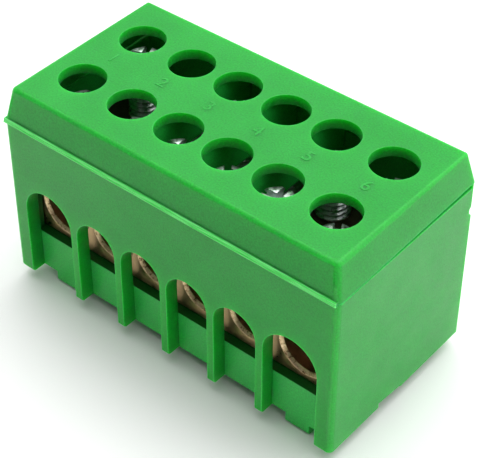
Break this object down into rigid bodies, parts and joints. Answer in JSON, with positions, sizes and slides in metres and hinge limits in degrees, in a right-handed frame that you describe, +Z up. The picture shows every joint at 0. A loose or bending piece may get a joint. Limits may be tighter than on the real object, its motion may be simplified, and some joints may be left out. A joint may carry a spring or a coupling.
{
  "type": "insulated terminal block",
  "caption": "Two-row screw terminal block: a drilled brass bar with clamp screws in a green moulding with a hinged lid.",
  "frame": {"origin": "centre of the seating plane, which is the lower rim of the moulding; the snap feet reach 2.2 mm below it", "axes": "+X along the block, +Y towards the rear, where the lid closes, -Y is the hinge side, +Z up through the lid"},
  "size_m": [0.069, 0.036, 0.0412],
  "materials": {
    "green_plastic": "satin moulded, fine grain",
    "brass": "machined",
    "zinc_steel": "bright zinc plated"
  },
  "bodies": {
    "housing": {"housing": "green_plastic", "busbar": "brass"},
    "lid": {"lid": "green_plastic"},
    "front_screw_1": {"front_screw_1": "zinc_steel"},
    "front_screw_2": {"front_screw_2": "zinc_steel"},
    "front_screw_3": {"front_screw_3": "zinc_steel"},
    "front_screw_4": {"front_screw_4": "zinc_steel"},
    "front_screw_5": {"front_screw_5": "zinc_steel"},
    "front_screw_6": {"front_screw_6": "zinc_steel"},
    "rear_screw_1": {"rear_screw_1": "zinc_steel"},
    "rear_screw_2": {"rear_screw_2": "zinc_steel"},
    "rear_screw_3": {"rear_screw_3": "zinc_steel"},
    "rear_screw_4": {"rear_screw_4": "zinc_steel"},
    "rear_screw_5": {"rear_screw_5": "zinc_steel"},
    "rear_screw_6": {"rear_screw_6": "zinc_steel"}
  },
  "joints": [
    {"name": "lid_hinge", "type": "hinge", "parent": "housing", "child": "lid", "pos_m": [0, -0.0181, 0.03245], "axis": [1, 0, 0], "range_deg": [0, 175]},
    {"name": "front_screw_1_travel", "type": "slide", "parent": "housing", "child": "front_screw_1", "axis": [0, 0, 1], "range_m": [-0.0098, 0.002]},
    {"name": "front_screw_2_travel", "type": "slide", "parent": "housing", "child": "front_screw_2", "axis": [0, 0, 1], "range_m": [-0.00845, 0.00235]},
    {"name": "front_screw_3_travel", "type": "slide", "parent": "housing", "child": "front_screw_3", "axis": [0, 0, 1], "range_m": [-0.0091, 0.0017]},
    {"name": "front_screw_4_travel", "type": "slide", "parent": "housing", "child": "front_screw_4", "axis": [0, 0, 1], "range_m": [-0.0087, 0.0021]},
    {"name": "front_screw_5_travel", "type": "slide", "parent": "housing", "child": "front_screw_5", "axis": [0, 0, 1], "range_m": [-0.00975, 0.00105]},
    {"name": "front_screw_6_travel", "type": "slide", "parent": "housing", "child": "front_screw_6", "axis": [0, 0, 1], "range_m": [-0.0095, 0.0023]},
    {"name": "rear_screw_1_travel", "type": "slide", "parent": "housing", "child": "rear_screw_1", "axis": [0, 0, 1], "range_m": [-0.0108, 0.001]},
    {"name": "rear_screw_2_travel", "type": "slide", "parent": "housing", "child": "rear_screw_2", "axis": [0, 0, 1], "range_m": [-0.0072, 0.0036]},
    {"name": "rear_screw_3_travel", "type": "slide", "parent": "housing", "child": "rear_screw_3", "axis": [0, 0, 1], "range_m": [-0.00835, 0.00245]},
    {"name": "rear_screw_4_travel", "type": "slide", "parent": "housing", "child": "rear_screw_4", "axis": [0, 0, 1], "range_m": [-0.007, 0.0038]},
    {"name": "rear_screw_5_travel", "type": "slide", "parent": "housing", "child": "rear_screw_5", "axis": [0, 0, 1], "range_m": [-0.0079, 0.0029]},
    {"name": "rear_screw_6_travel", "type": "slide", "parent": "housing", "child": "rear_screw_6", "axis": [0, 0, 1], "range_m": [-0.00905, 0.00275]}
  ]
}
